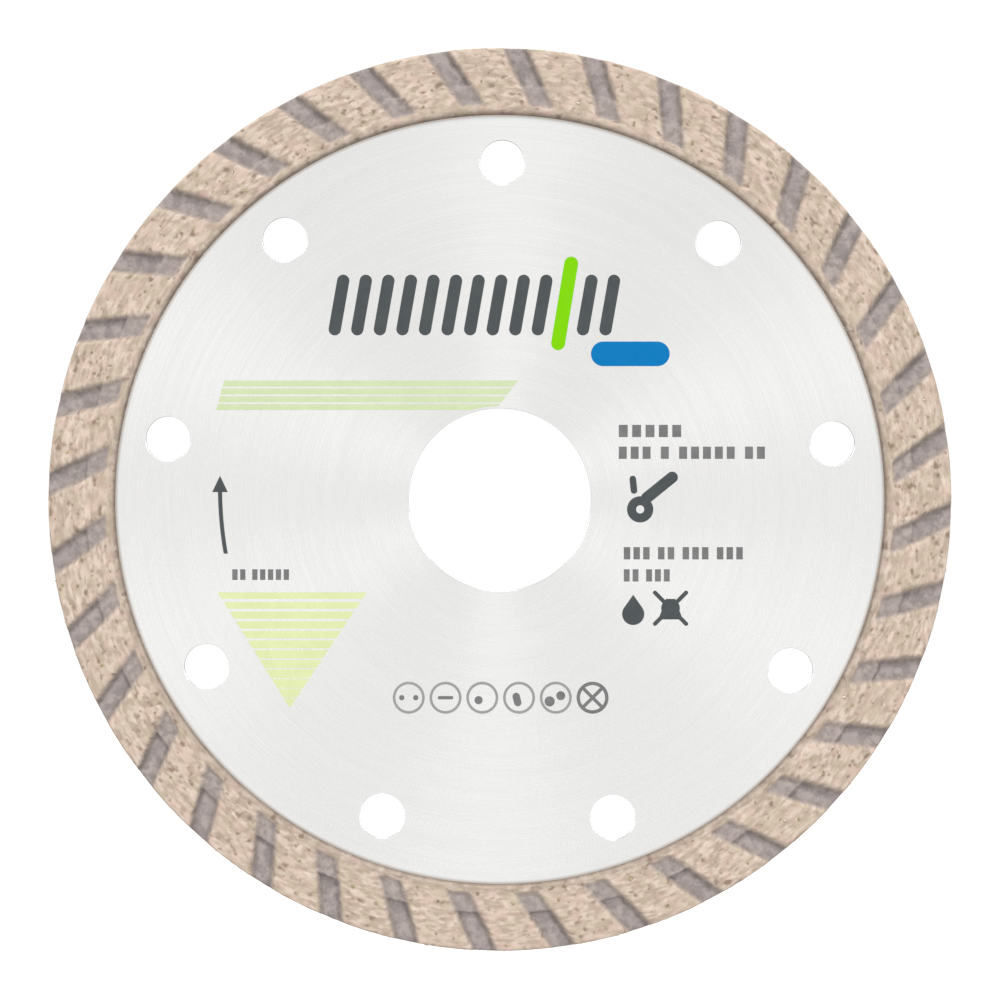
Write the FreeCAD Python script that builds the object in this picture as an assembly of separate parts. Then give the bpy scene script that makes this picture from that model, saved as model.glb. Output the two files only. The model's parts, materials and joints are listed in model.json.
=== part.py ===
import FreeCAD, Part
import math
import os
import random

# A turbo-rim diamond blade for an angle grinder, in millimetres.
# It stands upright: the spin axis is +Y, the printed face looks along -Y, and +Z is up on the print.
# Every piece is first drawn lying down, with the printed face up (+Z) and the top of the print along +Y,
# and stand_up() then turns it. The origin is the bore's centre, at half the blade's thickness.

Vector = FreeCAD.Vector
AXIS = Vector(0, 0, 1)

# Driving dimensions
BLADE_DIAMETER = 110.0
BORE_DIAMETER = 22.23
CORE_THICKNESS = 1.3
RIM_THICKNESS = 2.2
RIM_HEIGHT = 8.1
RIM_WALL_RUN = 0.35
RIM_CORNER = 0.2
DEBURR = 0.1

# Cooling holes; HOLE_START is the first one's clockwise angle from the top of the print
HOLE_COUNT = 9
HOLE_DIAMETER = 5.4
HOLE_CIRCLE = 82.2
HOLE_START = 0.4

# The core's margin, which the rim is pressed and sintered on to
MARGIN_REACH = 3.4
MARGIN_RELIEF = 0.05
MARGIN_GAP = 0.1
NOTCH_COUNT = 36
NOTCH_RADIUS = 0.7

# Turbo grooves, the same on both faces, with the back ones half a pitch round
GROOVE_COUNT = 36
GROOVE_WIDTH = 3.1
GROOVE_DRAFT = 42.0
GROOVE_SWEEP = 28.5
GROOVE_START = 3.85
GROOVE_MIDDLE_RADIUS = 51.5
GROOVE_INNER_RADIUS = 48.1
GROOVE_STEP_RADIUS = 50.5
SHALLOW_DEPTH = 0.3
DEEP_DEPTH = 0.7

# Diamond grit: GRIT_DEPTH is how far below the surface a crystal's middle lies, EDGE_HEIGHTS how far it
# stands from the middle plane on the cutting edge, and EDGE_JITTER its random turn there in degrees
GRIT_RADIUS = 0.27
GRIT_SPACING = 1.15
GRIT_DEPTH = (0.12, 0.22)
GRIT_PER_LAND = 7
LAND_HALF_LENGTH = 3.3
LAND_HALF_WIDTH = 1.6
EDGE_HEIGHTS = (0.33, 0.55)
EDGE_JITTER = 0.5
GRIT_MARGIN = 0.45
GRIT_SEED = 11

# Screen print: the ink's thickness, and the layout on the face as x, y from the bore's centre
INK = 0.03
LINE = 0.5
HEADLINE_LEFT, HEADLINE_RIGHT = -19.6, 13.4
HEADLINE_LOW, HEADLINE_HIGH = 20.0, 27.4
HEADLINE_COUNT = 13
HEADLINE_BAR_WIDTH = 1.5
HEADLINE_LEAN = 0.14
ACCENT_PLACE = 10
ACCENT_LOW, ACCENT_HIGH = 18.2, 29.6
ACCENT_WIDTH = 1.7
TAG_LEFT, TAG_RIGHT = 11.1, 20.7
TAG_LOW, TAG_HIGH = 16.25, 19.25
BAND_TOP = 14.5
BAND_PITCH = 0.95
BAND_GAP = 0.2
BAND_COUNT = 4
BAND_TOP_ENDS = (-33.6, 2.2)
BAND_BOTTOM_ENDS = (-34.6, -0.7)
TRIANGLE_TOP, TRIANGLE_APEX = -11.3, -25.4
TRIANGLE_CORNERS = (-34.4, -25.6, -16.2)
TRIANGLE_COUNT = 12
TRIANGLE_WIDEST_GAP, TRIANGLE_LEAST_GAP = 0.36, 0.1
ARROW_POINTS = ((-33.4, -6.6), (-33.95, -2.3), (-34.1, 1.4))
ARROW_HEAD_HALF_WIDTH = 0.95
ARROW_HEAD_LENGTH = 2.0
GRINDER_RING = (17.1, -1.2)
GRINDER_RING_OUTER, GRINDER_RING_INNER = 1.6, 0.5
GRINDER_HANDLE = ((17.9, 0.2), (21.0, 2.7), 1.4)
GRINDER_SPRAY = ((16.2, 2.5), (16.35, 1.1), 0.8)
DROP_FOOT = (16.25, -15.3)
DROP_WIDTH, DROP_HEIGHT = 2.7, 3.7
BLOT_MIDDLE = (20.8, -13.25)
BLOT_REACH = 1.9
ICON_Y = -24.15
ICON_RADIUS = 1.95
ICON_LEFT = -11.1
ICON_PITCH = 4.48
ICON_COUNT = 6
ICON_LINE = 0.32
LAST_ICON_LINE = 0.42

# Worked out from the above
BLADE_RADIUS = BLADE_DIAMETER / 2
BORE_RADIUS = BORE_DIAMETER / 2
CORE_TOP = CORE_THICKNESS / 2
RIM_TOP = RIM_THICKNESS / 2
RIM_BASE_RADIUS = BLADE_RADIUS - RIM_HEIGHT
CORE_RADIUS = RIM_BASE_RADIUS + MARGIN_REACH
FLANGE_FACE_RADIUS = RIM_BASE_RADIUS - MARGIN_GAP
MARGIN_TOP = CORE_TOP - MARGIN_RELIEF
GROOVE_PITCH = 360.0 / GROOVE_COUNT


def stand_up(shape):
    """Turns a shape drawn lying down so that its printed face looks along -Y."""
    standing = shape.copy()
    standing.rotate(Vector(0, 0, 0), Vector(1, 0, 0), 90)
    return standing


def turned(shape, clockwise):
    """A copy turned about the spin axis by an angle that is clockwise on the printed face."""
    copy = shape.copy()
    copy.rotate(Vector(0, 0, 0), AXIS, -clockwise)
    return copy


def flipped(shape):
    """A copy mirrored through the blade's middle plane, for the back face."""
    return shape.mirror(Vector(0, 0, 0), AXIS)


def revolved(points):
    """A ring from its half-section, given as (radius, height) corners."""
    corners = [Vector(radius, 0, height) for radius, height in points]
    outline = Part.makePolygon(corners + corners[:1])
    return Part.Face(outline).revolve(Vector(0, 0, 0), AXIS, 360)


def disc(radius, low, high, x=0.0, y=0.0):
    """An upright cylinder between two heights."""
    return Part.makeCylinder(radius, high - low, Vector(x, y, low))


def on_circle(radius, clockwise):
    """The point at this radius and this clockwise angle from the top of the print."""
    angle = math.radians(clockwise)
    return Vector(radius * math.sin(angle), radius * math.cos(angle), 0)


# Steel core


def core_margin_notches():
    """Half-round notches round the core's edge, which the rim's bond fills."""
    notches = []
    for i in range(NOTCH_COUNT):
        centre = on_circle(CORE_RADIUS, i * 360.0 / NOTCH_COUNT)
        notches.append(disc(NOTCH_RADIUS, -RIM_TOP, RIM_TOP, centre.x, centre.y))
    return notches


def steel_core():
    profile = [
        (BORE_RADIUS + DEBURR, -CORE_TOP),
        (FLANGE_FACE_RADIUS, -CORE_TOP),
        (FLANGE_FACE_RADIUS, -MARGIN_TOP),
        (CORE_RADIUS, -MARGIN_TOP),
        (CORE_RADIUS, MARGIN_TOP),
        (FLANGE_FACE_RADIUS, MARGIN_TOP),
        (FLANGE_FACE_RADIUS, CORE_TOP),
        (BORE_RADIUS + DEBURR, CORE_TOP),
        (BORE_RADIUS, CORE_TOP - DEBURR),
        (BORE_RADIUS, -CORE_TOP + DEBURR),
    ]
    hole_profile = [
        (0, -CORE_TOP),
        (HOLE_DIAMETER / 2 + DEBURR, -CORE_TOP),
        (HOLE_DIAMETER / 2, -CORE_TOP + DEBURR),
        (HOLE_DIAMETER / 2, CORE_TOP - DEBURR),
        (HOLE_DIAMETER / 2 + DEBURR, CORE_TOP),
        (0, CORE_TOP),
    ]
    hole = revolved(hole_profile)
    hole.translate(Vector(0, HOLE_CIRCLE / 2, 0))
    holes = [turned(hole, HOLE_START + i * 360.0 / HOLE_COUNT) for i in range(HOLE_COUNT)]
    return revolved(profile).cut(holes + core_margin_notches())


# Rim


def groove_bar(depth):
    """A long straight groove for the front face, drafted, down to this depth, before its ends are trimmed."""
    spread = math.tan(math.radians(GROOVE_DRAFT))
    above = DEEP_DEPTH
    top = GROOVE_WIDTH / 2 + spread * above
    floor = GROOVE_WIDTH / 2 - spread * depth
    start = Vector(0, GROOVE_MIDDLE_RADIUS - 2 * RIM_HEIGHT, 0)
    corners = [
        start + Vector(-top, 0, RIM_TOP + above),
        start + Vector(top, 0, RIM_TOP + above),
        start + Vector(floor, 0, RIM_TOP - depth),
        start + Vector(-floor, 0, RIM_TOP - depth),
    ]
    bar = Part.Face(Part.makePolygon(corners + corners[:1])).extrude(Vector(0, 4 * RIM_HEIGHT, 0))
    bar.rotate(Vector(0, GROOVE_MIDDLE_RADIUS, 0), AXIS, GROOVE_SWEEP)
    return bar


def groove():
    """One front groove: shallow over the core's margin, deeper outside it, closed at its inner end."""
    height = RIM_THICKNESS
    beyond = disc(BLADE_RADIUS + RIM_HEIGHT, -height, height)
    inner = groove_bar(SHALLOW_DEPTH).common(beyond.cut(disc(GROOVE_INNER_RADIUS, -height, height)))
    outer = groove_bar(DEEP_DEPTH).common(beyond.cut(disc(GROOVE_STEP_RADIUS, -height, height)))
    return inner.fuse(outer)


def grooves():
    front = groove()
    back = flipped(front)
    cutters = []
    for i in range(GROOVE_COUNT):
        clockwise = GROOVE_START + i * GROOVE_PITCH
        cutters.append(turned(front, clockwise))
        cutters.append(turned(back, clockwise + GROOVE_PITCH / 2))
    return cutters


def rim_blank():
    wall_top = RIM_BASE_RADIUS + RIM_WALL_RUN
    profile = [
        (RIM_BASE_RADIUS, -MARGIN_TOP),
        (wall_top, -RIM_TOP),
        (BLADE_RADIUS - RIM_CORNER, -RIM_TOP),
        (BLADE_RADIUS, -RIM_TOP + RIM_CORNER),
        (BLADE_RADIUS, RIM_TOP - RIM_CORNER),
        (BLADE_RADIUS - RIM_CORNER, RIM_TOP),
        (wall_top, RIM_TOP),
        (RIM_BASE_RADIUS, MARGIN_TOP),
    ]
    return revolved(profile)


# Diamond grit


def crystal(centre, dice):
    """An eight-sided diamond crystal, turned at random."""
    size = GRIT_RADIUS * dice.uniform(0.8, 1.2)
    tips = [
        Vector(size, 0, 0),
        Vector(0, size, 0),
        Vector(-size, 0, 0),
        Vector(0, -size, 0),
    ]
    faces = []
    for pole in (Vector(0, 0, size), Vector(0, 0, -size)):
        for tip, following in zip(tips, tips[1:] + tips[:1]):
            faces.append(Part.Face(Part.makePolygon([pole, tip, following, pole])))
    solid = Part.Solid(Part.Shell(faces))
    solid.rotate(Vector(0, 0, 0), Vector(1, 0, 0), dice.uniform(0, 360))
    solid.rotate(Vector(0, 0, 0), Vector(0, 1, 0), dice.uniform(0, 360))
    solid.rotate(Vector(0, 0, 0), Vector(0, 0, 1), dice.uniform(0, 360))
    solid.translate(centre)
    return solid


def scattered(count, half_length, half_width, allowed, dice):
    """Random flat points within a rectangle, none closer together than the grit spacing."""
    points = []
    while len(points) < count:
        point = Vector(dice.uniform(-half_width, half_width), dice.uniform(-half_length, half_length), 0)
        if allowed(point) and all((point - other).Length > GRIT_SPACING for other in points):
            points.append(point)
    return points


def land_place(point):
    """Carries a point drawn about a land's middle to its place beside the first groove."""
    place = FreeCAD.Placement(Vector(0, GROOVE_MIDDLE_RADIUS, 0), FreeCAD.Rotation(AXIS, GROOVE_SWEEP))
    return place.multVec(point)


def on_land(point):
    """True where a whole crystal fits between the rim's inner wall and its cutting edge."""
    radius = land_place(point).Length
    inner = RIM_BASE_RADIUS + RIM_WALL_RUN + GRIT_MARGIN
    return inner < radius < BLADE_RADIUS - RIM_CORNER - GRIT_MARGIN


def front_grit(dice, offset):
    """Crystals on every land, standing a little proud of the front face."""
    crystals = []
    for i in range(GROOVE_COUNT):
        clockwise = GROOVE_START + (i + 0.5) * GROOVE_PITCH + offset
        for point in scattered(GRIT_PER_LAND, LAND_HALF_LENGTH, LAND_HALF_WIDTH, on_land, dice):
            centre = land_place(point) + AXIS * (RIM_TOP - dice.uniform(*GRIT_DEPTH))
            crystals.append(turned(crystal(centre, dice), clockwise))
    return crystals


def groove_bearing(radius):
    """How far clockwise a groove's centre-line lies at this radius, counted from the middle radius."""
    sweep = math.radians(GROOVE_SWEEP)
    across = GROOVE_MIDDLE_RADIUS * math.sin(sweep)
    reach = math.sqrt(radius**2 - across**2) - GROOVE_MIDDLE_RADIUS * math.cos(sweep)
    return -math.degrees(math.atan2(reach * math.sin(sweep), GROOVE_MIDDLE_RADIUS + reach * math.cos(sweep)))


def edge_grit(dice):
    """Pairs of crystals on the cutting edge, between each front groove and the back groove beside it."""
    crystals = []
    first = GROOVE_START + groove_bearing(BLADE_RADIUS)
    for i in range(2 * GROOVE_COUNT):
        for side in (-1, 1):
            clockwise = first + (i + 0.5) * GROOVE_PITCH / 2 + dice.uniform(-EDGE_JITTER, EDGE_JITTER)
            radius = BLADE_RADIUS - dice.uniform(*GRIT_DEPTH)
            centre = Vector(0, radius, side * dice.uniform(*EDGE_HEIGHTS))
            crystals.append(turned(crystal(centre, dice), clockwise))
    return crystals


# Screen print: flat shapes, all drawn on the core's front face


def printed(face):
    """The layer of ink over a flat outline."""
    layer = face.copy()
    layer.translate(Vector(0, 0, CORE_TOP))
    return layer.extrude(Vector(0, 0, INK))


def area(*corners):
    """A flat straight-sided outline through (x, y) corners."""
    points = [Vector(x, y, 0) for x, y in corners]
    return Part.Face(Part.makePolygon(points + points[:1]))


def rectangle(left, bottom, right, top):
    return area((left, bottom), (right, bottom), (right, top), (left, top))


def spot(x, y, radius):
    return Part.Face(Part.Wire(Part.makeCircle(radius, Vector(x, y, 0), AXIS)))


def hoop(x, y, outer, inner):
    return spot(x, y, outer).cut(spot(x, y, inner))


def capsule(start, end, width):
    """A bar with round ends from one (x, y) point to another."""
    start = Vector(start[0], start[1], 0)
    end = Vector(end[0], end[1], 0)
    tip = (end - start).normalize() * (width / 2)
    side = Vector(-tip.y, tip.x, 0)
    edges = [
        Part.LineSegment(start + side, end + side),
        Part.Arc(end + side, end + tip, end - side),
        Part.LineSegment(end - side, start - side),
        Part.Arc(start - side, start - tip, start + side),
    ]
    return Part.Face(Part.Wire([edge.toShape() for edge in edges]))


def printed_together(*faces):
    """One layer of ink over several outlines that overlap."""
    layers = [printed(face) for face in faces]
    return layers[0].multiFuse(layers[1:]).removeSplitter()


def headline_x(place):
    """The middle of one of the headline's bars."""
    return HEADLINE_LEFT + place * (HEADLINE_RIGHT - HEADLINE_LEFT) / (HEADLINE_COUNT - 1)


def slanted_bar(x, low, high, width):
    """A round-ended bar that leans to the right, with its middle at x."""
    lean = HEADLINE_LEAN * (high - low)
    radius = width / 2
    return capsule((x - lean / 2, low + radius), (x + lean / 2, high - radius), width)


def headline_bars():
    """A row of slanted bars across the top of the print, with one place left for the green accent."""
    places = [i for i in range(HEADLINE_COUNT) if i != ACCENT_PLACE]
    return [
        printed(slanted_bar(headline_x(i), HEADLINE_LOW, HEADLINE_HIGH, HEADLINE_BAR_WIDTH)) for i in places
    ]


def headline_accent():
    return [printed(slanted_bar(headline_x(ACCENT_PLACE), ACCENT_LOW, ACCENT_HIGH, ACCENT_WIDTH))]


def blue_tag():
    """A plain round-ended tag."""
    width = TAG_HIGH - TAG_LOW
    middle = (TAG_HIGH + TAG_LOW) / 2
    return [printed(capsule((TAG_LEFT + width / 2, middle), (TAG_RIGHT - width / 2, middle), width))]


def stripes(outline, top, pitch, gaps):
    """An outline printed as horizontal stripes from its top down, with the given gap under each stripe."""
    layers = []
    for i, gap in enumerate(gaps):
        stripe_top = top - i * pitch
        stripe = outline.common(rectangle(-BLADE_RADIUS, stripe_top - pitch + gap, BLADE_RADIUS, stripe_top))
        layers.extend(printed(face) for face in stripe.Faces)
    return layers


def green_band():
    """A slanted band of stripes whose lower corner is cut away by the bore."""
    bottom = BAND_TOP - BAND_PITCH * BAND_COUNT
    top_left, top_right = BAND_TOP_ENDS
    bottom_left, bottom_right = BAND_BOTTOM_ENDS
    band = area((top_left, BAND_TOP), (top_right, BAND_TOP), (bottom_right, bottom), (bottom_left, bottom))
    clear_of_bore = band.cut(spot(0, 0, BORE_RADIUS + 3 * DEBURR))
    return stripes(clear_of_bore, BAND_TOP, BAND_PITCH, [BAND_GAP] * BAND_COUNT)


def green_triangle():
    """A triangle on its point, striped, with gaps that close towards the point."""
    pitch = (TRIANGLE_TOP - TRIANGLE_APEX) / TRIANGLE_COUNT
    left, middle, right = TRIANGLE_CORNERS
    outline = area((left, TRIANGLE_TOP), (middle, TRIANGLE_APEX), (right, TRIANGLE_TOP))
    gaps = []
    for i in range(TRIANGLE_COUNT):
        gaps.append(max(TRIANGLE_LEAST_GAP, TRIANGLE_WIDEST_GAP * (1 - i / TRIANGLE_COUNT)))
    return stripes(outline, TRIANGLE_TOP, pitch, gaps)


def rotation_arrow():
    """A thin curved arrow that points clockwise round the blade."""
    low, middle, high = [Vector(x, y, 0) for x, y in ARROW_POINTS]
    half = Vector(LINE / 2, 0, 0)
    edges = [
        Part.Arc(low - half, middle - half, high - half),
        Part.LineSegment(high - half, high + half),
        Part.Arc(high + half, middle + half, low + half),
        Part.LineSegment(low + half, low - half),
    ]
    shaft = Part.Face(Part.Wire([edge.toShape() for edge in edges]))
    base = high.y - LINE
    head = area(
        (high.x - ARROW_HEAD_HALF_WIDTH, base),
        (high.x + ARROW_HEAD_HALF_WIDTH, base),
        (high.x, base + ARROW_HEAD_LENGTH),
    )
    return [printed_together(shaft, head)]


def dashes(left, right, bottom, height, words):
    """A line of plain upright marks, grouped in words, that holds the place of small print."""
    mark_count = sum(words)
    gap_share = 0.5
    word_gap_share = 1.3
    gaps = (mark_count - 1) * gap_share + (len(words) - 1) * (word_gap_share - gap_share)
    width = (right - left) / (mark_count + gaps)
    marks = []
    x = left
    for word in words:
        for _ in range(word):
            marks.append(printed(rectangle(x, bottom, x + width, bottom + height)))
            x += width * (1 + gap_share)
        x += width * (word_gap_share - gap_share)
    return marks


def standard_line():
    return dashes(left=-32.6, right=-25.7, bottom=-9.8, height=1.3, words=(2, 5))


def size_lines():
    upper = dashes(left=14.5, right=22.1, bottom=7.6, height=1.5, words=(5,))
    lower = dashes(left=14.5, right=32.3, bottom=4.95, height=1.5, words=(3, 1, 5, 2))
    return upper + lower


def speed_lines():
    upper = dashes(left=15.1, right=29.6, bottom=-7.3, height=1.5, words=(3, 2, 3, 3))
    lower = dashes(left=15.1, right=20.7, bottom=-10.0, height=1.5, words=(2, 3))
    return upper + lower


def tool_symbol():
    """A ring with a stout tilted handle, and a short spray above it."""
    x, y = GRINDER_RING
    ring = hoop(x, y, GRINDER_RING_OUTER, GRINDER_RING_INNER)
    handle = capsule(*GRINDER_HANDLE).cut(spot(x, y, GRINDER_RING_INNER))
    return [printed_together(ring, handle), printed(capsule(*GRINDER_SPRAY))]


def drop(x, base, width, height):
    """A water drop: a round bottom that draws up to a point."""
    radius = width / 2
    centre_y = base + radius
    reach = height - radius
    touch = math.acos(radius / reach)
    side = Vector(radius * math.sin(touch), radius * math.cos(touch), 0)
    middle = Vector(x, centre_y, 0)
    point = middle + Vector(0, reach, 0)
    right = middle + side
    left = middle + Vector(-side.x, side.y, 0)
    edges = [
        Part.LineSegment(point, right),
        Part.Arc(right, middle - Vector(0, radius, 0), left),
        Part.LineSegment(left, point),
    ]
    return Part.Face(Part.Wire([edge.toShape() for edge in edges]))


def water_drop():
    return [printed(drop(*DROP_FOOT, DROP_WIDTH, DROP_HEIGHT))]


def crossed_symbol():
    """A blot with a broad foot, struck out by two bars."""
    x, y = BLOT_MIDDLE
    rising = capsule((x - BLOT_REACH, y - BLOT_REACH), (x + BLOT_REACH, y + BLOT_REACH), LINE)
    falling = capsule((x - BLOT_REACH, y + BLOT_REACH), (x + BLOT_REACH, y - BLOT_REACH), LINE)
    radius = 0.6 * BLOT_REACH
    top, foot = y + radius, y - 1.2 * radius
    narrow, broad = 0.5 * radius, 1.3 * radius
    skirt = area((x - narrow, top), (x + narrow, top), (x + broad, foot), (x - broad, foot))
    return [printed_together(spot(x, y, radius), skirt, rising, falling)]


def icon_x(place):
    return ICON_LEFT + place * ICON_PITCH


def icon_rings():
    """The thin rings of a row of icons, all but the last."""
    inner = ICON_RADIUS - ICON_LINE
    return [printed(hoop(icon_x(i), ICON_Y, ICON_RADIUS, inner)) for i in range(ICON_COUNT - 1)]


def icon_glyphs():
    """A plain mark in each thin ring: two dots, a bar, a dot, an upright bar, and two discs."""
    marks = [
        spot(icon_x(0) - 0.85, ICON_Y, 0.32),
        spot(icon_x(0) + 0.85, ICON_Y, 0.32),
        capsule((icon_x(1) - 0.75, ICON_Y), (icon_x(1) + 0.75, ICON_Y), 0.4),
        spot(icon_x(2) - 0.45, ICON_Y - 0.3, 0.5),
        capsule((icon_x(3) - 0.35, ICON_Y + 0.15), (icon_x(3) - 0.15, ICON_Y - 0.6), 0.9),
        spot(icon_x(4) - 0.75, ICON_Y - 0.45, 0.62),
        spot(icon_x(4) + 0.6, ICON_Y + 0.25, 0.55),
    ]
    return [printed(mark) for mark in marks]


def crossed_ring():
    """The last icon: a heavy ring with two bars across it."""
    x = icon_x(ICON_COUNT - 1)
    inner = ICON_RADIUS - LAST_ICON_LINE
    reach = (inner + LAST_ICON_LINE / 2) * math.sqrt(0.5)
    rising = capsule((x - reach, ICON_Y - reach), (x + reach, ICON_Y + reach), LAST_ICON_LINE)
    falling = capsule((x - reach, ICON_Y + reach), (x + reach, ICON_Y - reach), LAST_ICON_LINE)
    return [printed_together(hoop(x, ICON_Y, ICON_RADIUS, inner), rising, falling)]


def main():
    dice = random.Random(GRIT_SEED)
    diamonds_front = front_grit(dice, 0)
    diamonds_back = [flipped(one) for one in front_grit(dice, GROOVE_PITCH / 2)]
    diamonds_edge = edge_grit(dice)
    core = steel_core()
    rim = rim_blank().cut([core] + grooves())
    rim = rim.cut(diamonds_front + diamonds_back + diamonds_edge)

    nodes = {
        "steel_core": [core],
        "turbo_rim": [rim],
        "diamonds_front": diamonds_front,
        "diamonds_back": diamonds_back,
        "diamonds_edge": diamonds_edge,
        "print_headline_bars": headline_bars(),
        "print_headline_accent": headline_accent(),
        "print_blue_tag": blue_tag(),
        "print_green_band": green_band(),
        "print_green_triangle": green_triangle(),
        "print_rotation_arrow": rotation_arrow(),
        "print_standard_line": standard_line(),
        "print_size_lines": size_lines(),
        "print_speed_lines": speed_lines(),
        "print_tool_symbol": tool_symbol(),
        "print_water_drop": water_drop(),
        "print_crossed_symbol": crossed_symbol(),
        "print_icon_rings": icon_rings(),
        "print_icon_glyphs": icon_glyphs(),
        "print_crossed_ring": crossed_ring(),
    }
    os.makedirs("parts", exist_ok=True)
    for name, pieces in nodes.items():
        solids = [solid for piece in pieces for solid in piece.Solids]
        shape = solids[0] if len(solids) == 1 else Part.makeCompound(solids)
        stand_up(shape).exportStep(f"parts/{name}.step")
        print(name, len(solids), "solids,", round(shape.Volume, 3), "mm3, valid", shape.isValid())


main()
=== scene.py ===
import json
import math

import bmesh
import bpy
import numpy as np
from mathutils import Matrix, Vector, kdtree, noise

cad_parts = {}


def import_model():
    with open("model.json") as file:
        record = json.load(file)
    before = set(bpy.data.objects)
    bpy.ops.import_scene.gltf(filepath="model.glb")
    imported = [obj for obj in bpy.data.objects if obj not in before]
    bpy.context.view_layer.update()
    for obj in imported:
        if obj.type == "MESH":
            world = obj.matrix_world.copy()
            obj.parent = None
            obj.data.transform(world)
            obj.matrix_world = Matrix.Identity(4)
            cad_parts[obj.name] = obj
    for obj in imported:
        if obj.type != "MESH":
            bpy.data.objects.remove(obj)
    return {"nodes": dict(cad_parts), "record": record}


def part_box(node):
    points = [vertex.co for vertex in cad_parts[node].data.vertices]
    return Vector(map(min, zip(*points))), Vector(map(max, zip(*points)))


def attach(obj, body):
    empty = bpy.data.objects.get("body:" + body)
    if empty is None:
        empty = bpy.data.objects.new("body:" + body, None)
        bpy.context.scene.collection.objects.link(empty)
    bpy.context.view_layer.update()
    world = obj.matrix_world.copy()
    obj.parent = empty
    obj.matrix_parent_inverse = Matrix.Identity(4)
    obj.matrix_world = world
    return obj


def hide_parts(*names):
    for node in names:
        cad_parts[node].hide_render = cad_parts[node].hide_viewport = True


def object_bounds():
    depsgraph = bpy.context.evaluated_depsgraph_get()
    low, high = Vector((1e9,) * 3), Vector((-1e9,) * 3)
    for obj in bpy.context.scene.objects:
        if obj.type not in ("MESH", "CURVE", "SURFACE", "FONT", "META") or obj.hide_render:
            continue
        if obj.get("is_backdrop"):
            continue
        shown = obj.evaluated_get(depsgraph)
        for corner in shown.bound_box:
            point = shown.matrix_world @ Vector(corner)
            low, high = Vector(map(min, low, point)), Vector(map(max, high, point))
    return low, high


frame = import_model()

# Looks of a turbo-rim diamond blade, in metres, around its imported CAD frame. The blade stands upright: its
# spin axis is Y, the printed face looks along -Y, and +Z is up on the print. Angles are clockwise from the
# top, as seen from the printed face.

MM = 0.001
CAD_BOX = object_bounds()
NODES = frame["nodes"]
DIAMOND_NODES = ("diamonds_front", "diamonds_back", "diamonds_edge")

# Points closer together than this are one point
CRYSTAL_WELD, PLATE_WELD = 1e-6, 1e-7

# Sizes read from the frame
MOUNTS = {mount["name"]: mount for mount in frame["record"]["mounts"]}
RIM_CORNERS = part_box("turbo_rim")
BLADE_RADIUS = RIM_CORNERS[1].x
RIM_TOP = RIM_CORNERS[1].y
BORE_RADIUS = MOUNTS["arbor_bore"]["dims"]["r_mm"] * MM
CORE_TOP = MOUNTS["back_flange_face"]["pos_m"][1]

# The core's other sizes
HOLE_COUNT = 9
HOLE_RADIUS = 2.7 * MM
HOLE_CIRCLE_RADIUS = 41.1 * MM
HOLE_START = math.radians(0.4)
DEBURR = 0.1 * MM
DEBURR_STEPS = 3
PLATE_POINTS, BORE_POINTS, HOLE_POINTS = 384, 192, 96

# The rim's section
RIM_BASE_RADIUS = BLADE_RADIUS - 8.1 * MM
RIM_MIDDLE_RADIUS = BLADE_RADIUS - 4 * MM
RIM_WALL_RUN = 0.35 * MM
RIM_CORNER = 0.2 * MM
ROUND_SHARE = 0.3
RIM_OVERLAP = 0.05 * MM
FACE_ROWS = (2, 6, 6, 6, 12)
EDGE_ROWS = 8

# The rim's grooves: a shallow inner half, and a deep outer half that opens at the cutting edge
GROOVE_COUNT = 36
PITCH = 2 * math.pi / GROOVE_COUNT
GROOVE_HALF_WIDTH = 1.55 * MM
GROOVE_SHOULDER = 0.15 * MM
GROOVE_DRAFT = math.radians(42)
GROOVE_SWEEP = math.radians(28.5)
GROOVE_START = math.radians(3.85)
GROOVE_MIDDLE_RADIUS = 51.5 * MM
GROOVE_INNER_RADIUS = 48.1 * MM
GROOVE_STEP_RADIUS = 50.5 * MM
END_RUN = 0.3 * MM
STEP_RUN = 0.18 * MM
SHALLOW_DEPTH = 0.3 * MM
DEEP_DEPTH = 0.7 * MM
GROOVE_TOP = GROOVE_HALF_WIDTH + GROOVE_SHOULDER
GROOVE_BOTTOM = GROOVE_HALF_WIDTH - DEEP_DEPTH * math.tan(GROOVE_DRAFT)
WALL_STEPS, FLOOR_STEPS, GAP_STEPS = 4, 5, 4

# How strongly the rim's zones are coloured: 1 is a groove floor's full colour, or the full dark wall colour,
# which is painted shade at the groove walls' feet and the joint's own dark colour on the rim's inner wall
FLOOR_COLOUR_START = 0.15
FLOOR_COLOUR_GAIN = 2.1
# Painted shade: the groove walls darken towards their feet and the floors darken beside the walls, more in
# the deep part, standing in for the shade in the grooves' corners
WALL_PAINTED_SHADE = 0.42
WALL_PAINTED_SHADE_GAIN = 1.5
WALL_PAINTED_SHADE_FADE = 1.5
CORNER_PAINTED_SHADE_REACH = 0.45 * MM
FOOT_GRIME = 0.62
# The lands get darker towards the joint with the core, fading out at the grooves' inner ends
JOINT_DARKENING = 0.3
JOINT_STAIN = 0.5 * MM

# Wear on the rim's surface: heights and sizes in millimetres, rates in features to the millimetre
SWELL_HEIGHT, SWELL_RATE = 0.022, 0.45
GRAIN_HEIGHT, GRAIN_RATE = 0.030, 2.1
GRAIN_EVERYWHERE, GRAIN_ON_LANDS = 0.55, 0.45
PIT_RATE, PIT_DRAW, PIT_CHANCE = 0.62, 37.0, 0.1
PIT_SIZE, PIT_SPREAD, PIT_DEPTH = 0.22, 0.16, 0.11
CHIP_RATE, CHIP_START, CHIP_DEPTH = 0.9, 0.15, 0.25
CHIP_SHIFT = Vector((31.0, 7.0, 5.0))
CHIP_FLOOR_LIMIT = 0.8
SEAT_REACH, SEAT_DEPTH, SEAT_DARKNESS = 0.55 * MM, 0.05, 0.6

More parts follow.
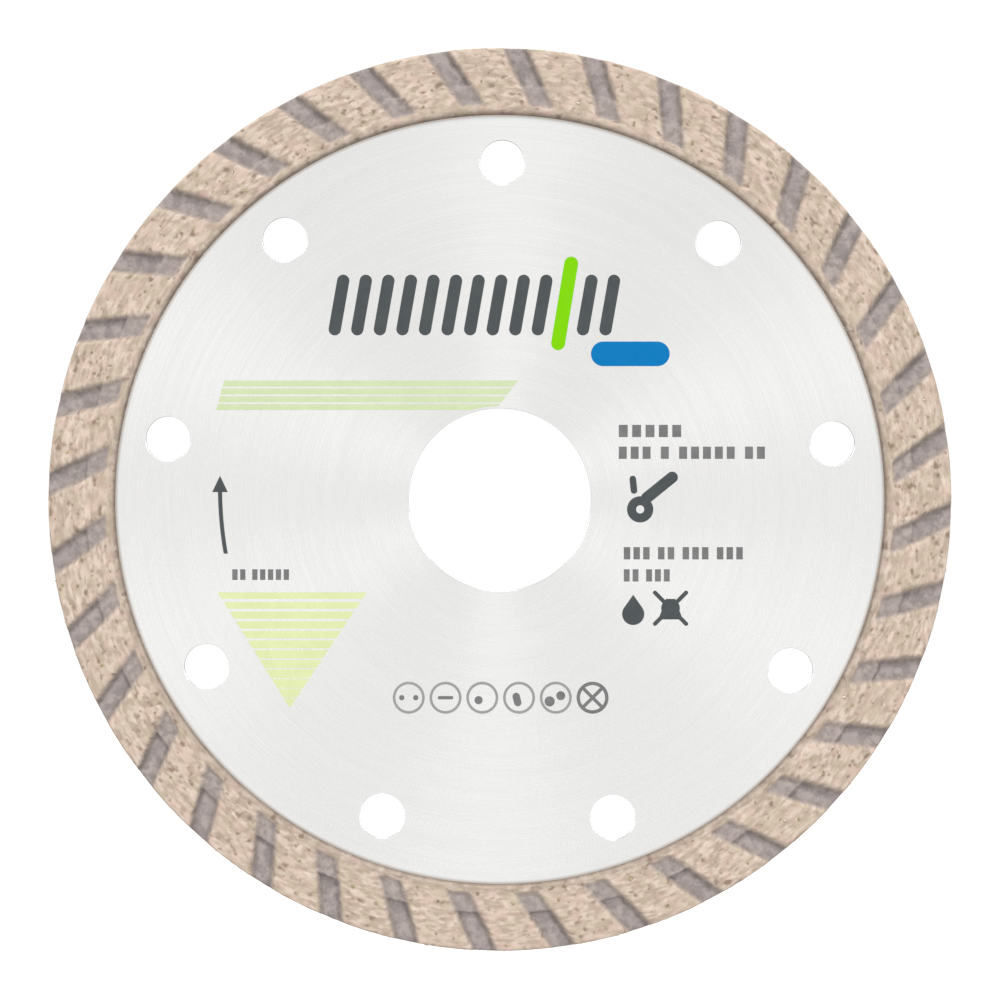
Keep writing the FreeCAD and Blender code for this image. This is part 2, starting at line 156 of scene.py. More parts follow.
# The studio
STUDIO_FLOOR_POINTS, STUDIO_FLOOR_RADIUS, STUDIO_FLOOR_DROP = 96, 2.5, 0.02
WORLD_STRENGTH = 1.02
LIGHT_BOUNCES = 6
HALF_FRAME = 60.97 * MM
LENS, SENSOR = 300.0, 36.0
NEAR_CLIP = 0.01
CAMERA_SHIFT_X, CAMERA_SHIFT_Z = 0.02 * MM, -0.06 * MM


# ---------------------------------------------------------------- materials

# Linear colours
STEEL_DULL = (0.714, 0.711, 0.702, 1)
STEEL_BRIGHT = (0.726, 0.723, 0.714, 1)
STEEL_MARKED = (0.68, 0.678, 0.672, 1)
STEEL_CLOUDED = (0.69, 0.686, 0.673, 1)
STEEL_STAINED = (0.32, 0.26, 0.21, 1)
STEEL_CUT = (0.30, 0.297, 0.292, 1)
LAND_DARK = (0.275, 0.212, 0.165, 1)
LAND_PALE = (0.47, 0.388, 0.325, 1)
LAND_MOTTLED = (0.29, 0.226, 0.176, 1)
LAND_BLOTCHED = (0.335, 0.268, 0.205, 1)
LAND_PINK = (0.42, 0.31, 0.262, 1)
LAND_OLIVE = (0.33, 0.285, 0.205, 1)
LAND_GRAINED = (0.20, 0.155, 0.12, 1)
LAND_SPECKED = (0.165, 0.112, 0.078, 1)
GROOVE_DARK = (0.175, 0.150, 0.143, 1)
GROOVE_PALE = (0.262, 0.226, 0.215, 1)
GROOVE_MAUVE = (0.215, 0.182, 0.180, 1)
GROOVE_GRAINED = (0.12, 0.10, 0.09, 1)
# The wall colour: painted shade at the feet of the groove walls, and the joint's own dark brown on the rim's
# inner wall
WALL_DARK = (0.085, 0.066, 0.054, 1)
WALL_PALE = (0.16, 0.128, 0.106, 1)
PIT_BROWN = (0.13, 0.098, 0.074, 1)
CRYSTAL_BROWN = (0.16, 0.125, 0.05, 1)
CRYSTAL_YELLOW = (0.34, 0.28, 0.14, 1)
CRYSTAL_FLAW = (0.07, 0.06, 0.045, 1)
STUDIO_DULL = (0.525, 0.525, 0.525, 1)
STUDIO_PALE = (0.555, 0.555, 0.555, 1)
WHITE = (1.0, 1.0, 1.0, 1.0)

# Each ink's slot: the material's name, its colour, how much lighter it gets in patches, and its roughness
INKS = {
    "ink_dark": ("dark_ink", (0.043, 0.049, 0.051), 0.01, 0.42),
    "ink_grey": ("grey_ink", (0.105, 0.105, 0.106), 0.03, 0.42),
    "ink_light_grey": ("light_grey_ink", (0.185, 0.185, 0.182), 0.03, 0.42),
    "ink_green": ("green_ink", (0.122, 0.375, 0.0), 0.003, 0.42),
    "ink_blue": ("blue_ink", (0.0, 0.108, 0.28), 0.003, 0.42),
    "ink_pale_green": ("pale_green_ink", (0.352, 0.412, 0.248), 0.03, 0.5),
    "ink_lime": ("lime_ink", (0.405, 0.445, 0.235), 0.03, 0.5),
}

# A mix node's colour sockets, which share their names with its other sockets
MIX_FIRST, MIX_SECOND, MIX_RESULT = 6, 7, 2


class Nodes:
    """A material's node tree, with short ways to add nodes and join them."""

    def __init__(self, name):
        self.material = bpy.data.materials.new(name)
        self.material.use_nodes = True
        self.tree = self.material.node_tree
        self.shader = self.tree.nodes["Principled BSDF"]

    def add(self, kind, **settings):
        node = self.tree.nodes.new(kind)
        for key, value in settings.items():
            setattr(node, key, value)
        return node

    def join(self, source, target):
        """Links a socket to the target, or sets the target to a number or a colour."""
        if isinstance(source, (int, float, tuple)):
            target.default_value = source
        else:
            self.tree.links.new(source, target)

    def math(self, operation, first, second=0.0, third=0.0):
        node = self.add("ShaderNodeMath", operation=operation)
        for value, socket in zip((first, second, third), node.inputs):
            self.join(value, socket)
        return node.outputs[0]

    def ramp(self, value, low, high, to_low=0.0, to_high=1.0):
        """A smooth step, from to_low where value is low, to to_high where it is high."""
        node = self.add("ShaderNodeMapRange", interpolation_type="SMOOTHSTEP")
        for number, socket in zip((value, low, high, to_low, to_high), node.inputs):
            self.join(number, socket)
        return node.outputs[0]

    def mix(self, factor, first, second):
        node = self.add("ShaderNodeMix", data_type="RGBA")
        self.join(factor, node.inputs["Factor"])
        self.join(first, node.inputs[MIX_FIRST])
        self.join(second, node.inputs[MIX_SECOND])
        return node.outputs[MIX_RESULT]

    def layer(self, base, colour, mask, low, high, strength=1.0):
        """The base with this colour laid over it, more strongly as the mask goes from low to high."""
        return self.mix(self.ramp(mask, low, high, 0.0, strength), base, colour)

    def split(self, kind, source):
        """The three parts of a vector or a colour."""
        node = self.add(kind)
        self.join(source, node.inputs[0])
        return node.outputs

    def place(self):
        """The point's place in the blade's own frame, in metres."""
        return self.add("ShaderNodeTexCoord").outputs["Object"]

    def noise(self, vector, size_mm, detail, roughness):
        """Noise whose features are about this many millimetres across."""
        node = self.add("ShaderNodeTexNoise")
        node.inputs["Scale"].default_value = 1.0 / (size_mm * MM)
        node.inputs["Detail"].default_value = detail
        node.inputs["Roughness"].default_value = roughness
        self.join(vector, node.inputs["Vector"])
        return node.outputs[0]

    def cell_colour(self, vector, size_mm):
        """A random colour for each cell of about this size."""
        node = self.add("ShaderNodeTexVoronoi")
        node.inputs["Scale"].default_value = 1.0 / (size_mm * MM)
        self.join(vector, node.inputs["Vector"])
        return node.outputs["Color"]

    def from_axis(self):
        """The point's x, y and z, and its distance from the blade's axis."""
        x, y, z = self.split("ShaderNodeSeparateXYZ", self.place())
        squares = self.math("ADD", self.math("MULTIPLY", x, x), self.math("MULTIPLY", z, z))
        return x, y, z, self.math("SQRT", squares)

    def turned_noise(self, ring_mm, turn_mm, detail, roughness):
        """Noise in marks that run round the axis, this wide across the radius and this long round it."""
        x, y, z, radius = self.from_axis()
        combined = self.add("ShaderNodeCombineXYZ")
        across = self.math("ADD", radius, y)
        self.join(self.math("MULTIPLY", across, 1.0 / (ring_mm * MM)), combined.inputs[0])
        for source, target in ((x, 1), (z, 2)):
            unit = self.math("DIVIDE", source, radius)
            self.join(self.math("MULTIPLY", unit, BLADE_RADIUS / (turn_mm * MM)), combined.inputs[target])
        already_scaled = 1 / MM
        return self.noise(combined.outputs[0], already_scaled, detail, roughness)

    def bump(self, height, strength, distance_mm):
        node = self.add("ShaderNodeBump")
        node.inputs["Strength"].default_value = strength
        node.inputs["Distance"].default_value = distance_mm * MM
        self.join(height, node.inputs["Height"])
        return node.outputs[0]

    def set(self, **values):
        """Sets the shader's sockets, named with _ for a space, and gives the material."""
        for key, value in values.items():
            self.join(value, self.shader.inputs[key.replace("_", " ")])
        return self.material


def steel_material():
    """Ground sheet steel: fine marks that run round the bore and a bright satin sheen, duller on cut edges
    and stained brown along the joint with the rim."""
    n = Nodes("ground_steel")
    fine_marks = n.turned_noise(ring_mm=0.12, turn_mm=50.0, detail=3.0, roughness=0.6)
    broad_marks = n.turned_noise(ring_mm=1.1, turn_mm=27.0, detail=2.0, roughness=0.5)
    clouds = n.noise(n.place(), size_mm=14.0, detail=3.0, roughness=0.55)
    *_, radius = n.from_axis()
    geometry = n.add("ShaderNodeNewGeometry")
    _, facing, _ = n.split("ShaderNodeSeparateXYZ", geometry.outputs["Normal"])
    cut = n.ramp(n.math("ABSOLUTE", facing), 0.6, 0.25)

    tone = n.layer(STEEL_DULL, STEEL_BRIGHT, fine_marks, 0.3, 0.7)
    tone = n.layer(tone, STEEL_MARKED, broad_marks, 0.3, 0.75, strength=0.35)
    tone = n.layer(tone, STEEL_CLOUDED, clouds, 0.45, 0.8, strength=0.3)
    tone = n.layer(tone, STEEL_STAINED, radius, RIM_BASE_RADIUS - JOINT_STAIN, RIM_BASE_RADIUS, strength=0.75)
    tone = n.mix(cut, tone, STEEL_CUT)
    roughness = n.math("MULTIPLY_ADD", cut, 0.3, n.ramp(fine_marks, 0.25, 0.75, 0.24, 0.29))
    tangent = n.add("ShaderNodeTangent", direction_type="RADIAL", axis="Y").outputs[0]
    n.set(Metallic=1.0, Anisotropic=0.75, Anisotropic_Rotation=0.25, Tangent=tangent)
    normal = n.bump(fine_marks, strength=0.05, distance_mm=0.02)
    return n.set(Base_Color=tone, Roughness=roughness, Normal=normal)


def bond_material():
    """Sintered bond: sandy ground lands, mauve-grey groove floors and dark pits, with a dark brown wall
    colour laid on as painted shade at the groove walls' feet and as the joint's dark colour.
    """
    n = Nodes("sintered_bond")
    zones = n.add("ShaderNodeAttribute", attribute_name="zones").outputs["Color"]
    on_floor, on_wall_shade_and_joint, in_pit = n.split("ShaderNodeSeparateColor", zones)
    grain = n.noise(n.place(), size_mm=0.35, detail=4.0, roughness=0.65)
    mottle = n.noise(n.place(), size_mm=0.9, detail=2.0, roughness=0.55)
    blotch = n.noise(n.place(), size_mm=2.6, detail=2.0, roughness=0.5)
    hue = n.noise(n.place(), size_mm=1.5, detail=1.0, roughness=0.5)
    streak = n.turned_noise(ring_mm=0.5, turn_mm=1.5, detail=2.0, roughness=0.5)
    speck = n.turned_noise(ring_mm=0.75, turn_mm=1.2, detail=1.0, roughness=0.4)

    land = n.layer(LAND_DARK, LAND_PALE, streak, 0.34, 0.66)
    land = n.layer(land, LAND_MOTTLED, mottle, 0.6, 0.3, strength=0.35)
    land = n.layer(land, LAND_BLOTCHED, blotch, 0.35, 0.7, strength=0.5)
    land = n.layer(land, LAND_PINK, hue, 0.5, 0.72, strength=0.5)
    land = n.layer(land, LAND_OLIVE, hue, 0.5, 0.3, strength=0.4)
    land = n.layer(land, LAND_GRAINED, grain, 0.42, 0.2, strength=0.6)
    land = n.layer(land, LAND_SPECKED, speck, 0.60, 0.79, strength=0.9)

    groove_floor = n.layer(GROOVE_DARK, GROOVE_PALE, mottle, 0.35, 0.65)
    groove_floor = n.layer(groove_floor, GROOVE_MAUVE, blotch, 0.4, 0.7, strength=0.5)
    groove_floor = n.layer(groove_floor, GROOVE_GRAINED, grain, 0.42, 0.2, strength=0.5)
    wall = n.layer(WALL_DARK, WALL_PALE, mottle, 0.3, 0.7)

    colour = n.mix(on_floor, land, groove_floor)
    # Lays on the wall colour: painted shade at the groove walls' feet, and the joint's dark colour
    colour = n.mix(on_wall_shade_and_joint, colour, wall)
    colour = n.layer(colour, PIT_BROWN, in_pit, 0.1, 0.9, strength=0.75)
    height = n.math("MULTIPLY_ADD", speck, -0.8, grain)
    normal = n.bump(height, strength=0.55, distance_mm=0.09)
    roughness = n.ramp(grain, 0.3, 0.7, 0.62, 0.85)
    n.set(Metallic=0.15, Specular_IOR_Level=0.35)
    return n.set(Base_Color=colour, Roughness=roughness, Normal=normal)


def diamond_material():
    """Blocky synthetic diamond: smoky yellow-green crystals with bright, sharp glints."""
    n = Nodes("diamond_crystal")
    share, _, _ = n.split("ShaderNodeSeparateColor", n.cell_colour(n.place(), 0.9))
    flaws = n.noise(n.place(), size_mm=0.12, detail=2.0, roughness=0.6)
    colour = n.mix(share, CRYSTAL_BROWN, CRYSTAL_YELLOW)
    colour = n.layer(colour, CRYSTAL_FLAW, flaws, 0.4, 0.7, strength=0.7)
    return n.set(IOR=1.9, Base_Color=colour, Roughness=n.ramp(flaws, 0.3, 0.7, 0.25, 0.5))


def ink_material(name, colour, lift, roughness):
    """Screen-printed ink: slightly uneven in tone, a little rough, with paler pinholes."""
    n = Nodes(name)
    full = (*colour, 1.0)
    lighter = (*(min(1.0, channel + lift) for channel in colour), 1.0)
    cloud = n.noise(n.place(), size_mm=2.2, detail=3.0, roughness=0.6)
    mesh = n.noise(n.place(), size_mm=0.16, detail=2.0, roughness=0.5)
    tone = n.layer(full, lighter, cloud, 0.35, 0.7, strength=0.6)
    tone = n.layer(tone, lighter, mesh, 0.66, 0.74, strength=0.5)
    uneven = n.ramp(mesh, 0.3, 0.7, roughness - 0.06, roughness + 0.1)
    normal = n.bump(mesh, strength=0.15, distance_mm=0.02)
    return n.set(Specular_IOR_Level=0.06, Base_Color=tone, Roughness=uneven, Normal=normal)


def floor_material():
    n = Nodes("pale_floor")
    cloud = n.noise(n.place(), size_mm=180.0, detail=2.0, roughness=0.5)
    return n.set(Base_Color=n.mix(cloud, STUDIO_DULL, STUDIO_PALE), Roughness=0.6)


# ---------------------------------------------------------------- mesh helpers


def new_mesh_object(name, points, faces, smooth=True):
    mesh = bpy.data.meshes.new(name)
    mesh.from_pydata(points, [], faces)
    mesh.update()
    piece = bpy.data.objects.new(name, mesh)
    bpy.context.scene.collection.objects.link(piece)
    if smooth:
        mesh.polygons.foreach_set("use_smooth", [True] * len(mesh.polygons))
    return piece


def give(piece, material):
    """Makes this the piece's only material."""
    piece.data.materials.clear()
    piece.data.materials.append(material)


def turn_outward(mesh):
    """Makes every face of a closed mesh look outward."""
    edit = bmesh.new()
    edit.from_mesh(mesh)
    bmesh.ops.recalc_face_normals(edit, faces=edit.faces)
    edit.to_mesh(mesh)
    edit.free()


# ---------------------------------------------------------------- rim


def groove_bearing(radius, across):
    """Clockwise angle, at each radius, of a straight line this far to the right of a groove's centre-line."""
    middle = GROOVE_MIDDLE_RADIUS
    sine, cosine = math.sin(GROOVE_SWEEP), math.cos(GROOVE_SWEEP)
    reach = np.sqrt(radius**2 - (across + middle * sine) ** 2) - middle * cosine
    x = across * cosine - reach * sine
    y = middle + across * sine + reach * cosine
    return GROOVE_START + np.arctan2(x, y)


def smooth_step(value, low, high):
    t = np.clip((value - low) / (high - low), 0.0, 1.0)
    return t * t * (3 - 2 * t)


def spaced(low, high, count):
    """This many evenly spaced values from low, leaving out high."""
    return list(np.linspace(low, high, count, endpoint=False))


def groove_depth(radius):
    """A groove's depth along its length: closed at its inner end, with a step down half way out."""
    end, step = GROOVE_INNER_RADIUS, GROOVE_STEP_RADIUS
    first = SHALLOW_DEPTH * smooth_step(radius, end - END_RUN, end + END_RUN)
    second = DEEP_DEPTH - SHALLOW_DEPTH
    return first + second * smooth_step(radius, step - STEP_RUN, step + STEP_RUN)


def face_radii():
    """Radii of the rows across one face, closer together at the groove's end and step."""
    end, step = GROOVE_INNER_RADIUS, GROOVE_STEP_RADIUS
    by_step = 2 * STEP_RUN
    limits = (
        RIM_BASE_RADIUS + RIM_WALL_RUN,
        end - END_RUN,
        end + END_RUN,
        step - by_step,
        step + by_step,
        BLADE_RADIUS - RIM_CORNER,
    )
    stretches = zip(limits, limits[1:], FACE_ROWS)
    return [radius for low, high, rows in stretches for radius in spaced(low, high, rows)]


def column_marks():
    """One pitch's columns as (groove side, stretch, share of the stretch). On each face a groove has a wall,
    a floor, a wall and then a gap. The front groove comes first and the back groove half a pitch later."""
    stretches = (
        ("left_wall", WALL_STEPS),
        ("floor", FLOOR_STEPS),
        ("right_wall", WALL_STEPS),
        ("gap", GAP_STEPS),
    )
    return [(face, kind, q) for face in (0, 1) for kind, steps in stretches for q in spaced(0, 1, steps)]


def column_at(radius, half_turn, kind, q):
    """One column's angle at this radius, its share of the groove's depth, and its painted shade, which
    darkens a wall towards its foot and a floor beside its walls.
    """
    wall_run = GROOVE_TOP - GROOVE_BOTTOM
    if kind == "left_wall":
        angle = half_turn + groove_bearing(radius, -GROOVE_TOP + q * wall_run)
        # A wall's painted shade grows towards its foot
        return angle, q, q**WALL_PAINTED_SHADE_FADE
    if kind == "floor":
        angle = half_turn + groove_bearing(radius, -GROOVE_BOTTOM + q * 2 * GROOVE_BOTTOM)
        from_wall = min(q, 1.0 - q) * 2 * GROOVE_BOTTOM
        # The floor is painted darker beside each wall, as shade
        return angle, 1.0, max(0.0, 1.0 - from_wall / CORNER_PAINTED_SHADE_REACH)
    if kind == "right_wall":
        angle = half_turn + groove_bearing(radius, GROOVE_BOTTOM + q * wall_run)
        return angle, 1.0 - q, (1.0 - q) ** WALL_PAINTED_SHADE_FADE
    start = half_turn + groove_bearing(radius, GROOVE_TOP)
    end = half_turn + PITCH / 2 + groove_bearing(radius, -GROOVE_TOP)
    return start + q * (end - start), 0.0, 0.0


def column_angles(radius):
    """Every column's angle within one pitch at this radius, with its share of a groove's depth and its
    painted shade at the walls' feet, each as (front groove, back groove)."""
    angles, shares, corner_shades = [], [], []
    for face, kind, q in column_marks():
        angle, share, corner_shade = column_at(radius, face * PITCH / 2, kind, q)
        angles.append(angle)
        shares.append((0.0, share) if face else (share, 0.0))
        corner_shades.append((0.0, corner_shade) if face else (corner_shade, 0.0))
    return np.array(angles), np.array(shares), np.array(corner_shades)


def rim_rows():
    """The section's rows in order: (radius, height rule), from the front's inner foot round to the back's."""
    radii = face_radii()
    corner = BLADE_RADIUS - RIM_CORNER
    rounded = BLADE_RADIUS - RIM_CORNER * ROUND_SHARE
    wall = RIM_BASE_RADIUS + RIM_WALL_RUN * 0.5
    rows = [(RIM_BASE_RADIUS, "front_foot"), (wall, "front_wall")]
    rows += [(radius, "front") for radius in radii]
    rows += [(corner, "front"), (rounded, "front_round")]
    rows += [(BLADE_RADIUS, ("edge", q)) for q in np.linspace(0, 1, EDGE_ROWS)]
    rows += [(rounded, "back_round"), (corner, "back")]
    rows += [(radius, "back") for radius in reversed(radii)]
    rows += [(wall, "back_wall"), (RIM_BASE_RADIUS, "back_foot")]
    return rows


def row_heights(rule, front, back):
    """Each column's height along Y for a row, between the front surface and the back one."""
    foot = CORE_TOP - RIM_OVERLAP
    half_way = (foot + RIM_TOP) / 2
    heights = {
        "front_foot": np.full_like(front, -foot),
        "front_wall": np.full_like(front, -half_way),
        "front": front,
        "front_round": front + RIM_CORNER * ROUND_SHARE,
        "back_round": back - RIM_CORNER * ROUND_SHARE,
        "back": back,
        "back_wall": np.full_like(back, half_way),
        "back_foot": np.full_like(back, foot),
    }
    if rule in heights:
        return heights[rule]
    _, share = rule
    return (front + RIM_CORNER) * (1 - share) + (back - RIM_CORNER) * share


def row_zones(radius, rule, share, corner_shade):
    """How much of a floor each point of a row is, and how much dark wall colour it takes: painted shade at
    the groove walls' feet, the joint's dark colour on the rim's inner wall, and the lands' darkening towards
    the joint.
    """
    on_front = rule in ("front", "front_round")
    on_back = rule in ("back", "back_round")
    deep = float(groove_depth(radius)) / DEEP_DEPTH
    side = share[:, 0] * on_front + share[:, 1] * on_back
    corner_shaded = corner_shade[:, 0] * on_front + corner_shade[:, 1] * on_back
    floor = smooth_step(side, FLOOR_COLOUR_START, 1.0) * min(1.0, FLOOR_COLOUR_GAIN * deep)
    # Painted shade at the groove walls' feet, stronger where the groove is deep
    wall = WALL_PAINTED_SHADE * corner_shaded * min(1.0, WALL_PAINTED_SHADE_GAIN * deep)
    if rule in ("front_foot", "front_wall", "back_wall", "back_foot"):
        wall = np.full_like(side, FOOT_GRIME)
    # The lands darken towards the joint
    by_joint = 1.0 - smooth_step(radius, RIM_BASE_RADIUS + RIM_WALL_RUN, GROOVE_INNER_RADIUS)
    return floor, np.maximum(wall, JOINT_DARKENING * by_joint)


def rim_grid():
    """Rim points before wear, as rows x columns x 3, with how much of a floor each is and how much dark wall
    colour it takes, as painted shade and as the joint's colour.
    """
    points, floors, wall_shade_and_joint = [], [], []
    turns = np.arange(GROOVE_COUNT)[:, None] * PITCH
    for radius, rule in rim_rows():
        angles, shares, corner_shades = column_angles(radius)
        depth = float(groove_depth(radius))
        angle = (angles[None, :] + turns).ravel()
        share = np.tile(shares, (GROOVE_COUNT, 1))
        corner_shade = np.tile(corner_shades, (GROOVE_COUNT, 1))
        eased = 1.0 - np.cos(share * math.pi / 2)
        front = -(RIM_TOP - depth * eased[:, 0])
        back = RIM_TOP - depth * eased[:, 1]
        height = row_heights(rule, front, back)
        points.append(np.stack([radius * np.sin(angle), height, radius * np.cos(angle)], axis=1))
        floor, wall = row_zones(radius, rule, share, corner_shade)
        floors.append(floor)
        wall_shade_and_joint.append(wall)
    return np.array(points), np.array(floors), np.array(wall_shade_and_joint)


def grid_normals(points):
    """Outward unit normals of a grid that is closed both ways."""
    along = np.roll(points, -1, axis=0) - np.roll(points, 1, axis=0)
    across = np.roll(points, -1, axis=1) - np.roll(points, 1, axis=1)
    normals = np.cross(along, across)
    lengths = np.linalg.norm(normals, axis=2, keepdims=True)
    never_zero = 1e-12
    normals /= np.maximum(lengths, never_zero)
    radial = points * np.array([1, 0, 1])
    centre = radial / np.linalg.norm(radial, axis=2, keepdims=True) * RIM_MIDDLE_RADIUS
    outward = np.sum(normals * (points - centre), axis=2, keepdims=True)
    return normals * np.sign(np.median(outward))


def islands(mesh):
    """The corner points of each separate solid in an edit mesh."""
    seen = set()
    for start in mesh.verts:
        if start.index in seen:
            continue
        group, stack = [], [start]
        seen.add(start.index)
        while stack:
            vertex = stack.pop()
            group.append(vertex.co)
            for edge in vertex.link_edges:
                other = edge.other_vert(vertex)
                if other.index not in seen:
                    seen.add(other.index)
                    stack.append(other)
        yield group


def crystal_tree():
    """A search tree of the middle of every diamond crystal in the CAD nodes."""
    places = []
    for node in DIAMOND_NODES:
        mesh = bmesh.new()
        mesh.from_mesh(NODES[node].data)
        bmesh.ops.remove_doubles(mesh, verts=mesh.verts, dist=CRYSTAL_WELD)
        places += [sum(group, Vector()) / len(group) for group in islands(mesh)]
        mesh.free()
    tree = kdtree.KDTree(len(places))
    for i, place in enumerate(places):
        tree.insert(place, i)
    tree.balance()
    return tree


def wear_at(place, on_floor, land, tree):
    """How far one point moves outward, in millimetres, and how much of a pit it is: swells, grain, pits,
    chips along the grooves' edges, and seats round the crystals."""
    point = place / MM
    swell = SWELL_HEIGHT * noise.noise(point * SWELL_RATE)
    grain = GRAIN_HEIGHT * noise.noise(point * GRAIN_RATE)
    amount = swell + grain * (GRAIN_EVERYWHERE + GRAIN_ON_LANDS * land)
    pit = 0.0
    distances, cells = noise.voronoi(point * PIT_RATE)
    chance = noise.cell(cells[0] * PIT_DRAW)
    if chance > PIT_CHANCE:
        size = PIT_SIZE + PIT_SPREAD * abs(chance)
        pit = max(0.0, 1.0 - distances[0] / size) * land
        amount -= PIT_DEPTH * pit
    chip = noise.noise(point * CHIP_RATE + CHIP_SHIFT)
    if 0.0 < on_floor < CHIP_FLOOR_LIMIT and chip > CHIP_START:
        amount -= CHIP_DEPTH * (chip - CHIP_START)
    _, _, distance = tree.find(place)
    near = max(0.0, 1.0 - distance / SEAT_REACH)
    amount -= SEAT_DEPTH * near * land
    return amount, max(pit, SEAT_DARKNESS * near * land)


def weathering(points, floors, wall_shade_and_joint):
    """How far each point moves along its normal, and how much of a pit it is."""
    tree = crystal_tree()
    shift = np.zeros(floors.size)
    pit = np.zeros(floors.size)
    zones = zip(points.reshape(-1, 3), floors.ravel(), wall_shade_and_joint.ravel())
    for i, (place, on_floor, on_wall_shade_and_joint) in enumerate(zones):
        land = 1.0 - max(on_floor, on_wall_shade_and_joint)
        amount, pit[i] = wear_at(Vector(place), on_floor, land, tree)
        shift[i] = amount * MM
    return shift.reshape(floors.shape), pit.reshape(floors.shape)


def sintered_rim():
    """The whole grooved ring as one closed skin."""
    points, floors, wall_shade_and_joint = rim_grid()
    shift, pits = weathering(points, floors, wall_shade_and_joint)
    for foot_row in (0, -1):
        shift[foot_row] = 0.0
    points = points + grid_normals(points) * shift[:, :, None]
    index = np.arange(floors.size).reshape(floors.shape)
    following = np.roll(index, -1, axis=1)
    above = np.roll(index, -1, axis=0)
    above_following = np.roll(following, -1, axis=0)
    faces = np.stack([index, above, above_following, following], axis=2).reshape(-1, 4)
    piece = new_mesh_object("sintered_rim", points.reshape(-1, 3).tolist(), faces.tolist())
    turn_outward(piece.data)
    zones = piece.data.color_attributes.new("zones", "FLOAT_COLOR", "POINT")
    colours = np.stack([floors.ravel(), wall_shade_and_joint.ravel(), pits.ravel(), np.ones(floors.size)], axis=1)
    zones.data.foreach_set("color", colours.ravel())
    return piece


# ---------------------------------------------------------------- steel core


def circle_spline(curve, x, z, radius, points):
    """A closed round outline in a flat curve's own plane."""
    spline = curve.splines.new("POLY")
    spline.points.add(points - 1)
    for i, point in enumerate(spline.points):
        angle = 2 * math.pi * i / points
        point.co = (x + radius * math.cos(angle), z + radius * math.sin(angle), 0, 1)
    spline.use_cyclic_u = True


def core_outline():
    """A flat curve of the disc's rim, bore and holes, thickened with rounded edges."""
    curve = bpy.data.curves.new("core_outline", "CURVE")
    curve.dimensions = "2D"
    curve.fill_mode = "BOTH"
    curve.extrude = CORE_TOP - DEBURR
    curve.bevel_depth = DEBURR
    curve.bevel_resolution = DEBURR_STEPS
    curve.offset = -DEBURR
    circle_spline(curve, 0, 0, RIM_BASE_RADIUS + RIM_OVERLAP, PLATE_POINTS)
    circle_spline(curve, 0, 0, BORE_RADIUS, BORE_POINTS)
    for i in range(HOLE_COUNT):
        angle = HOLE_START + 2 * math.pi * i / HOLE_COUNT
        x, z = HOLE_CIRCLE_RADIUS * math.sin(angle), HOLE_CIRCLE_RADIUS * math.cos(angle)
        circle_spline(curve, x, z, HOLE_RADIUS, HOLE_POINTS)
    outline = bpy.data.objects.new("core_outline", curve)
    bpy.context.scene.collection.objects.link(outline)
    return outline


def core_plate():
    """The steel disc with round, softly broken bore and hole edges."""
    outline = core_outline()
    bpy.context.view_layer.update()
    graph = bpy.context.evaluated_depsgraph_get()
    mesh = bpy.data.meshes.new_from_object(outline.evaluated_get(graph))
    bpy.data.objects.remove(outline)
    mesh.name = "core_plate"
    edit = bmesh.new()
    edit.from_mesh(mesh)
    bmesh.ops.remove_doubles(edit, verts=edit.verts, dist=PLATE_WELD)
    for vertex in edit.verts:
        x, z, y = vertex.co
        vertex.co = (x, y, z)
    bmesh.ops.recalc_face_normals(edit, faces=edit.faces)
    edit.to_mesh(mesh)
    edit.free()
    piece = bpy.data.objects.new("core_plate", mesh)
    bpy.context.scene.collection.objects.link(piece)
    flat_face = 0.999
    for polygon in mesh.polygons:
        polygon.use_smooth = abs(polygon.normal.y) < flat_face
    return piece


# ---------------------------------------------------------------- stage


def soft_sun(name, bearing, lean, strength, spread):
    """A broad distant lamp at this clockwise bearing from the top, leaning this far forward of the disc's
    plane, both in degrees, as is the lamp's own spread."""
    lamp = bpy.data.lights.new(name, "SUN")
    lamp.energy = strength
    lamp.angle = math.radians(spread)
    holder = bpy.data.objects.new(name, lamp)
    turn, tilt = math.radians(bearing), math.radians(lean)
    flat = math.cos(tilt)
    towards = Vector((flat * math.sin(turn), -math.sin(tilt), flat * math.cos(turn)))
    holder.rotation_euler = towards.to_track_quat("Z", "Y").to_euler()
    bpy.context.scene.collection.objects.link(holder)


def lights():
    """Broad soft lamps from the top and from two and ten o'clock, and a gentle one behind."""
    soft_sun("top_lamp", bearing=2, lean=26, strength=2.6, spread=12)
    soft_sun("right_lamp", bearing=66, lean=45, strength=0.95, spread=20)
    soft_sun("left_lamp", bearing=-64, lean=45, strength=0.95, spread=20)
    soft_sun("back_lamp", bearing=20, lean=-50, strength=1.2, spread=35)


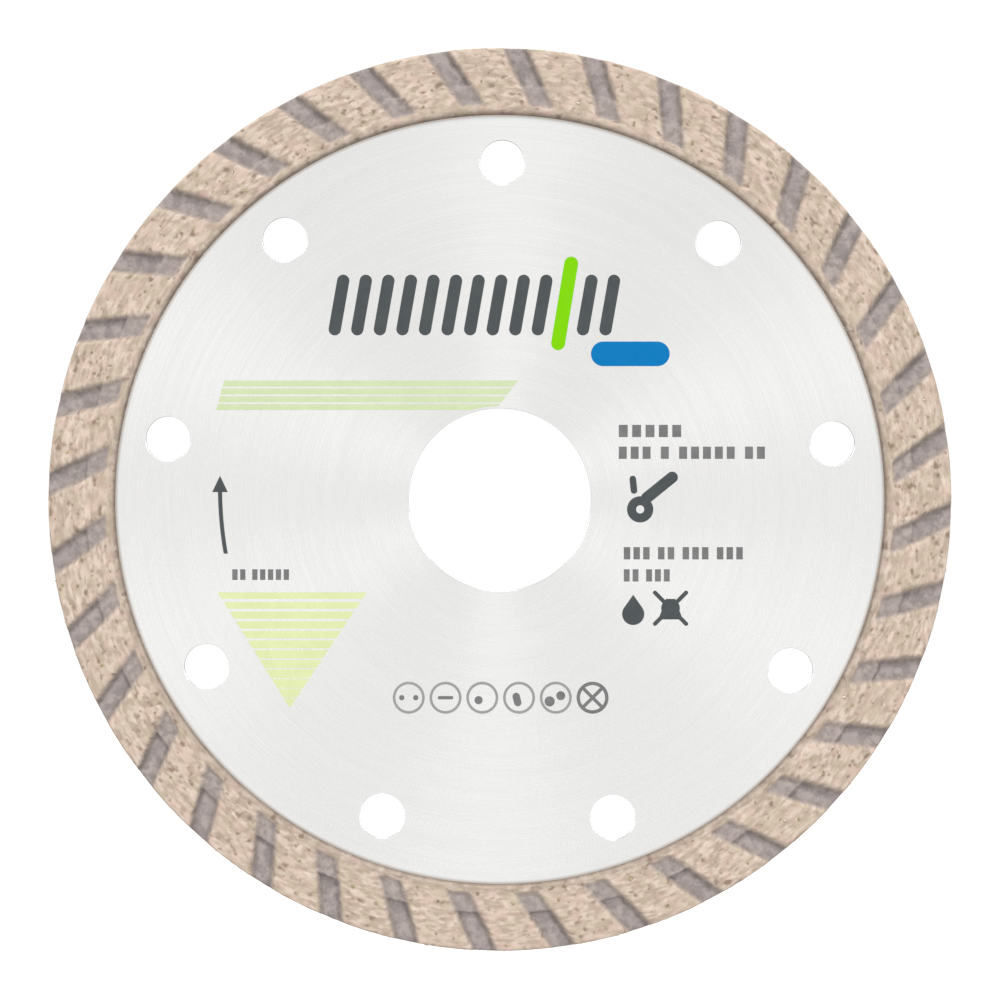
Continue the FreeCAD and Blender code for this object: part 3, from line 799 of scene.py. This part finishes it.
def world():
    surroundings = bpy.data.worlds.new("white_studio")
    surroundings.use_nodes = True
    background = surroundings.node_tree.nodes["Background"]
    background.inputs["Color"].default_value = WHITE
    background.inputs["Strength"].default_value = WORLD_STRENGTH
    bpy.context.scene.world = surroundings
    bpy.context.scene.view_settings.view_transform = "Standard"


def studio_floor():
    """A wide round floor a little below the blade."""
    height = -BLADE_RADIUS - STUDIO_FLOOR_DROP
    turns = [2 * math.pi * i / STUDIO_FLOOR_POINTS for i in range(STUDIO_FLOOR_POINTS)]
    radius = STUDIO_FLOOR_RADIUS
    ring = [(radius * math.cos(turn), radius * math.sin(turn), height) for turn in turns]
    piece = new_mesh_object("studio_floor", ring, [tuple(range(STUDIO_FLOOR_POINTS))], smooth=False)
    give(piece, floor_material())
    piece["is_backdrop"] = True


def camera():
    """Square on to the printed face, through a long lens from a metre away."""
    distance = HALF_FRAME * LENS / (SENSOR / 2)
    view = bpy.data.cameras.new("camera")
    view.lens = LENS
    view.sensor_width = SENSOR
    view.clip_start = NEAR_CLIP
    holder = bpy.data.objects.new("camera", view)
    holder.location = (CAMERA_SHIFT_X, -distance, CAMERA_SHIFT_Z)
    holder.rotation_euler = (math.pi / 2, 0, 0)
    bpy.context.scene.collection.objects.link(holder)
    bpy.context.scene.camera = holder


# ---------------------------------------------------------------- the blade


def dress_print():
    """Gives every printed CAD node the ink of its slot."""
    inks = {slot: ink_material(*look) for slot, look in INKS.items()}
    for part in frame["record"]["subparts"]:
        slot = part["material_slot"]
        if slot in inks:
            give(NODES[part["node"]], inks[slot])


def main():
    bpy.context.scene.cycles.max_bounces = LIGHT_BOUNCES
    camera()
    world()
    lights()
    studio_floor()

    rim = sintered_rim()
    give(rim, bond_material())
    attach(rim, "root")
    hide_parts("turbo_rim")

    plate = core_plate()
    give(plate, steel_material())
    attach(plate, "root")
    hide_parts("steel_core")

    crystal = diamond_material()
    for node in DIAMOND_NODES:
        give(NODES[node], crystal)
    dress_print()


main()

sizes = [[list(corner) for corner in box] for box in (CAD_BOX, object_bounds())]
